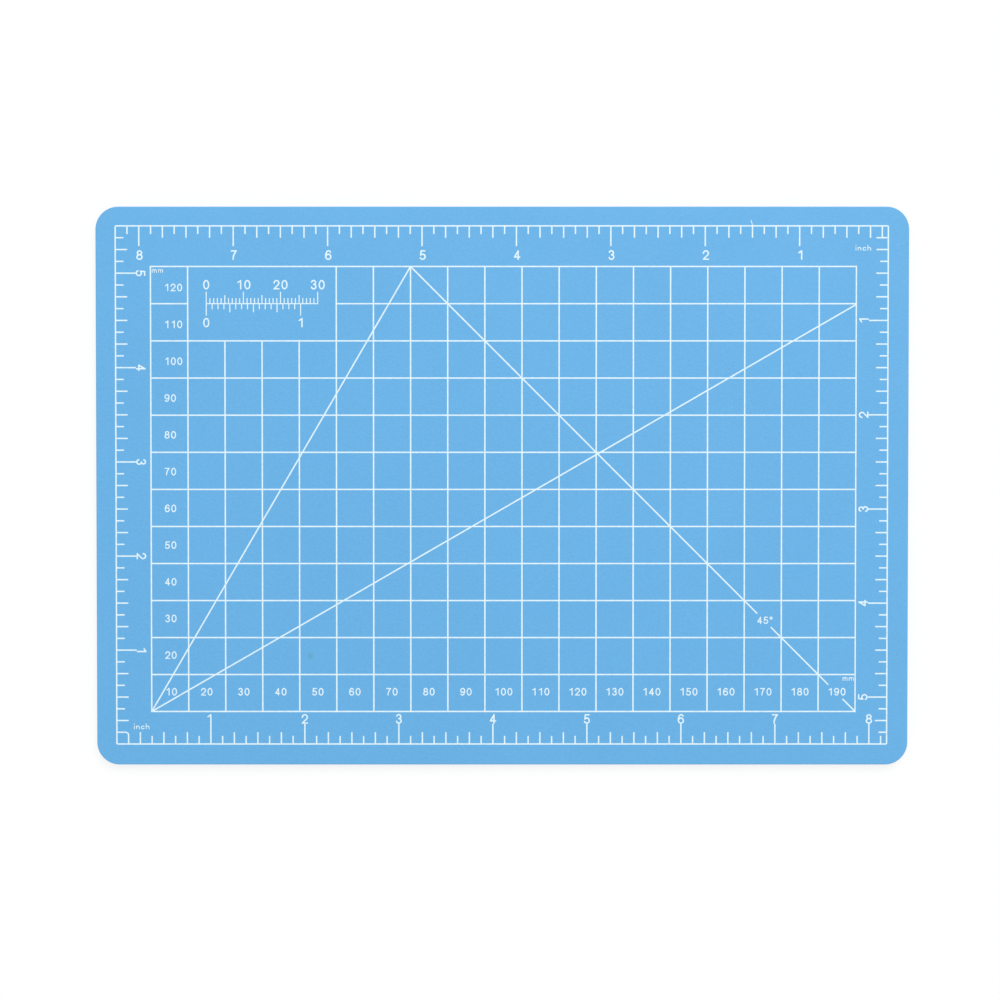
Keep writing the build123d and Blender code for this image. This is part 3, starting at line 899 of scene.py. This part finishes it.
class PrintInchTicks(PrintStep, Operator):
    """Prints the inch ticks of the four sides"""

    bl_idname = "cutting_mat.inch_ticks"
    bl_label = "Inch ticks"

    def lay(self, marks, plan):
        lower_left = (plan.left, plan.bottom)
        upper_left = (plan.left, plan.top)
        upper_right = (plan.right, plan.top)
        half = marks.line_width / 2
        first_y = plan.top - plan.pitch
        last_x = plan.left + plan.ticks_x * plan.pitch
        bottom = inch_ticks(plan, 2, plan.ticks_x, lower_left, RIGHT, UP)
        top = inch_ticks(plan, 1, plan.ticks_x - 1, upper_left, RIGHT, DOWN, zero=plan.top_zero)
        top.append(rectangle(last_x - half, first_y + half, last_x + half, plan.top - half))
        sideways = inch_ticks(plan, 2, plan.ticks_y, lower_left, UP, RIGHT)
        long_tick = marks.right_long_tick
        opposite = inch_ticks(plan, 2, plan.ticks_y, upper_right, DOWN, LEFT, long_tick=long_tick)
        reach = plan.right - marks.medium_tick
        opposite.append(rectangle(reach, first_y - half, plan.right - half, first_y + half))
        ink_film("bottom_inch_ticks", [merged(bottom)])
        ink_film("top_inch_ticks", [merged(top)])
        ink_film("left_inch_ticks", [merged(sideways, top)])
        ink_film("right_inch_ticks", [merged(opposite, top + bottom)])


class PrintInchNumerals(PrintStep, Operator):
    """Prints the inch numerals of the four sides and the two inch marks"""

    bl_idname = "cutting_mat.inch_numerals"
    bl_label = "Inch numerals"

    def lay(self, marks, plan):
        height, inch = marks.inch_numeral, marks.inch
        across = range(1, plan.numbered_inches("bottom_inch_numerals", height) + 1)
        upward = range(1, plan.numbered_inches("left_inch_numerals", height) + 1)
        one_shift = (ONE_STEM - DIGIT_WIDTH / 2) * height
        bottom, top, left, right = [], [], [], []
        for number in across:
            x = plan.left + number * inch - (one_shift if number == 1 else 0)
            bottom += write(str(number), height, x, plan.bottom + marks.long_tick)
            x = plan.left + plan.top_zero * plan.pitch - number * inch + marks.top_numeral_shift
            y = plan.top - marks.long_tick - marks.top_numeral_gap - height
            top += write(str(number), height, x, y)
        for number in upward:
            y = plan.bottom + number * inch
            left += write(str(number), height, plan.left + marks.long_tick, y, -math.pi / 2)
            y = plan.top - number * inch
            right += write(str(number), height, plan.right - marks.right_long_tick, y, math.pi / 2)
        ink_film("bottom_inch_numerals", bottom)
        ink_film("top_inch_numerals", top)
        ink_film("left_inch_numerals", left)
        ink_film("right_inch_numerals", right)
        low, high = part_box("inch_marks")
        size = marks.mark_height
        half = text_width("inch") * size / 2
        near = write("inch", size, low.x + half, low.y)
        far = write("inch", size, high.x - half, high.y - size)
        ink_film("inch_marks", near + far)


class PrintGrid(PrintStep, Operator):
    """Prints the centimetre grid, open where the panel is"""

    bl_idname = "cutting_mat.grid"
    bl_label = "Centimetre grid"

    def lay(self, marks, plan):
        ink_film("centimetre_grid", [merged(plan.grid_shapes(), [plan.panel])])


class PrintAngleLines(PrintStep, Operator):
    """Prints the steep, shallow and diagonal lines and the diagonal's label"""

    bl_idname = "cutting_mat.angle_lines"
    bl_label = "Angle lines"

    def lay(self, marks, plan):
        grid = plan.grid_shapes() + [plan.panel]
        origin = Vector((plan.grid_left, plan.grid_bottom))
        corner = Vector((plan.grid_right, plan.grid_bottom))
        apex = Vector((plan.grid_right - (plan.grid_top - plan.grid_bottom), plan.grid_top))
        shallow_end = Vector((plan.grid_right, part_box("shallow_angle_line")[1].y))
        across = (corner - apex).normalized()
        low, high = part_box("diagonal_angle_label")
        rise = (low.y + high.y) / 2 - plan.grid_bottom
        label = corner + Vector((-rise, rise))
        lift = marks.cell / 2 + marks.numeral_lift
        numeral = corner + Vector((-lift, lift))
        line = marks.line_width
        steep, shallow = ribbon([origin, apex], line), ribbon([origin, shallow_end], line)
        by_label = across * marks.label_gap / 2
        by_numeral = across * marks.numeral_gap / 2
        between = (label + by_label, numeral - by_numeral)
        stops = ((apex, label - by_label), between, (numeral + by_numeral, corner))
        diagonal = [piece for stop in stops for piece in ribbon(stop, line)]
        ink_film("steep_angle_line", [merged(steep, grid)])
        ink_film("shallow_angle_line", [merged(shallow, grid + steep)])
        ink_film("diagonal_angle_line", [merged(diagonal, grid + steep + shallow)])
        left_bearing = min(point.x for point in glyph("4")[0])
        centre = low.x + (text_width("45°") / 2 - left_bearing) * marks.label_height
        ink_film("diagonal_angle_label", write("45°", marks.label_height, centre, low.y))


class PrintGridNumerals(PrintStep, Operator):
    """Prints the millimetre numerals of the row and the column, and the millimetre marks"""

    bl_idname = "cutting_mat.grid_numerals"
    bl_label = "Millimetre numerals"

    def lay(self, marks, plan):
        height, cell = marks.grid_numeral, marks.cell
        rise = cell / 2 + marks.numeral_lift - height / 2
        row, column = [], []
        for place in range(plan.columns):
            text = self.distance(place + 1, cell)
            x = plan.grid_left + (place + 0.5) * cell
            if place == 0:
                x += marks.first_numeral_shift
            elif len(text) == 2:
                x += marks.two_digit_shift
            row += write(text, height, x, plan.grid_bottom + rise)
        for place in range(1, plan.rows):
            text = self.distance(place + 1, cell)
            x = plan.grid_left + cell / 2 - marks.column_offset + text_width(text) * height / 2
            y = plan.grid_bottom + rise + place * (cell - marks.column_creep)
            column += write(text, height, x, y)
        ink_film("millimetre_row_numerals", row)
        ink_film("millimetre_column_numerals", column)
        low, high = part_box("millimetre_marks")
        size = marks.mark_height
        half = text_width("mm") * size / 2
        x_height = max(point.y for point in glyph("m")[0]) * size
        upper = write("mm", size, low.x + half, high.y - x_height)
        lower = write("mm", size, high.x - half, low.y)
        ink_film("millimetre_marks", upper + lower)

    def distance(self, cells, cell):
        """The length of this many cells in whole millimetres, as text."""
        return str(round(cells * cell * MILLIMETRES))


class PrintPanelRule(PrintStep, Operator):
    """Prints the plain rule in the panel: millimetres above, sixteenths of an inch below"""

    bl_idname = "cutting_mat.panel_rule"
    bl_label = "Panel rule"

    def lay(self, marks, plan):
        low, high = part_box("panel_rule")
        line = marks.rule_line
        start = Vector((low.x + line / 2, (low.y + high.y) / 2))
        count = round((high.x - low.x - line) * MILLIMETRES)
        shared = {"First": 0, "Zero": 0, "Start": 0.0, "Width": line, "Long": marks.rule_long}
        shared |= {"Medium": marks.rule_half, "Short": marks.rule_fine}
        sides = (
            (count, LONG_MILLIMETRES, HALF_MILLIMETRES, 1 / MILLIMETRES, UP),
            (SIXTEENTHS, SIXTEENTHS, QUARTER_SIXTEENTHS, marks.inch / SIXTEENTHS, DOWN),
        )
        shapes = []
        for last, whole, part, pitch, outward in sides:
            ticks = shared | {"Ticks": last + 1, "Whole": whole, "Part": part, "Pitch": pitch}
            shapes += ruled(laid_out(tick_layout(), ticks), start, RIGHT, outward)
        shapes.append(rectangle(low.x, start.y - line / 2, high.x, start.y + line / 2))
        ink_film("panel_rule", [merged(shapes)])
        height = marks.rule_numeral
        offset = marks.rule_long + marks.rule_numeral_gap
        numerals = []
        for number in range(0, count + 1, LONG_MILLIMETRES):
            x = start.x + number / MILLIMETRES
            numerals += write(str(number), height, x, start.y + offset)
        for number in (0, 1):
            x = start.x + number * marks.inch
            numerals += write(str(number), height, x, start.y - offset - height)
        ink_film("panel_rule_numerals", numerals)


class SetStage(Operator):
    """Sets the white floor, the even light, the large lamp and the camera"""

    bl_idname = "cutting_mat.stage"
    bl_label = "Stage"

    def execute(self, context):
        stage = settings().stage
        scene = context.scene
        scene.view_settings.view_transform = "Standard"
        low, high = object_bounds()
        middle = (low + high) / 2
        self.lay_floor(stage, low.z)
        self.light(stage, scene, middle)
        self.place_camera(stage, scene, Vector((middle.x, middle.y, high.z)))
        return {"FINISHED"}

    def lay_floor(self, stage, level):
        """A round pale floor just under the mat, white to the camera and shaded by the mat."""
        plate = bmesh.new()
        size = {"segments": FLOOR_SIDES, "radius": stage.floor_radius}
        bmesh.ops.create_circle(plate, cap_ends=True, **size)
        bmesh.ops.translate(plate, verts=plate.verts, vec=(0, 0, level - FLOOR_DROP))
        floor = place_object("floor", built_mesh("floor", plate))
        floor.data.materials.append(self.floor_finish())
        floor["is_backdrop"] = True

    def floor_finish(self):
        """Plain white to light, and lit from within to whatever looks at it."""
        finish = bpy.data.materials.new("White table")
        finish.use_nodes = True
        tree = finish.node_tree
        tree.nodes.clear()
        lit = wired(tree, "ShaderNodeBsdfDiffuse", {"Color": FLOOR_COLOUR})
        shaded = wired(tree, "ShaderNodeBsdfDiffuse", {"Color": FLOOR_SHADED})
        glow = wired(tree, "ShaderNodeEmission", {"Strength": FLOOR_GLOW})
        both = wired(tree, "ShaderNodeAddShader", {0: shaded, 1: glow})
        self.choose(tree, "ShaderNodeOutputMaterial", self.seen(tree), lit, both)
        return finish

    def choose(self, tree, kind, factor, first, second):
        """Ends a tree with the first shader where the factor is 0 and the second where it is 1."""
        pick = wired(tree, "ShaderNodeMixShader", {0: factor, 1: first, 2: second})
        tree.links.new(pick, tree.nodes.new(kind).inputs["Surface"])

    def seen(self, tree):
        """1 for rays from the camera, mirrors and glass, 0 for light."""
        path = tree.nodes.new("ShaderNodeLightPath").outputs
        shiny = calculate(tree, "MAXIMUM", path["Is Glossy Ray"], path["Is Transmission Ray"])
        return calculate(tree, "MAXIMUM", path["Is Camera Ray"], shiny)

    def light(self, stage, scene, middle):
        """An even white sky and one large soft lamp from the far right."""
        world = bpy.data.worlds.new("Even white light")
        scene.world = world
        world.use_nodes = True
        tree = world.node_tree
        tree.nodes.clear()
        sky = wired(tree, "ShaderNodeBackground", {"Color": WHITE, "Strength": stage.ambient})
        backdrop = wired(tree, "ShaderNodeBackground", {"Color": WHITE})
        looked_at = wired(tree, "ShaderNodeLightPath", {}, "Is Camera Ray")
        self.choose(tree, "ShaderNodeOutputWorld", looked_at, sky, backdrop)
        lamp = bpy.data.lights.new("Soft lamp", "AREA")
        lamp.shape = "DISK"
        lamp.size = LAMP_SIZE
        lamp.energy = stage.key
        holder = place_object("Soft lamp", lamp)
        holder.location = middle + Vector(LAMP_PLACE)
        holder.rotation_euler = (middle - holder.location).to_track_quat("-Z", "Y").to_euler()

    def place_camera(self, stage, scene, target):
        """Looks straight down on the mat, leaning a little to its far side."""
        lens = bpy.data.cameras.new("Camera")
        lens.lens = lens.sensor_width * stage.camera_distance / stage.view_width
        lens.clip_start, lens.clip_end = CLIP_RANGE
        camera = place_object("Camera", lens)
        lean = stage.camera_tilt
        camera.location = target + Vector((*stage.aim, 0))
        camera.location += stage.camera_distance * Vector((0, math.sin(lean), math.cos(lean)))
        camera.rotation_euler = (-lean, 0, 0)
        scene.camera = camera


OPERATORS = (
    BuildPlies, PrintRulerFrame, PrintInchTicks, PrintInchNumerals, PrintGrid, PrintAngleLines,
    PrintGridNumerals, PrintPanelRule, SetStage,
)


class CuttingMatPanel(Panel):
    """Lists the steps and the sizes"""

    bl_idname = "VIEW3D_PT_cutting_mat"
    bl_label = "Cutting mat"
    bl_space_type = "VIEW_3D"
    bl_region_type = "UI"
    bl_category = "Cutting mat"

    def draw(self, context):
        for operator in OPERATORS:
            self.layout.operator(operator.bl_idname)
        for part in ("sheet", "marks", "finish", "stage"):
            group = getattr(context.scene.cutting_mat, part)
            box = self.layout.box()
            box.label(text=part.capitalize())
            for name in group.bl_rna.properties.keys():
                if name not in ("rna_type", "name"):
                    box.prop(group, name, text=name.replace("_", " ").capitalize())


CLASSES = (
    MatSheetSizes, MatPrintSizes, MatFinish, MatStage, MatSettings, *OPERATORS, CuttingMatPanel,
)


def register():
    """Adds the classes and the settings to Blender."""
    for part in CLASSES:
        bpy.utils.register_class(part)
    bpy.types.Scene.cutting_mat = PointerProperty(type=MatSettings)


def unregister():
    """Takes the settings and the classes out again."""
    del bpy.types.Scene.cutting_mat
    for part in reversed(CLASSES):
        bpy.utils.unregister_class(part)


def main():
    """Builds the mat and its stage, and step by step."""
    register()
    for operator in OPERATORS:
        getattr(bpy.ops.cutting_mat, operator.bl_idname.split(".")[1])()


if __name__ == "__main__":
    main()
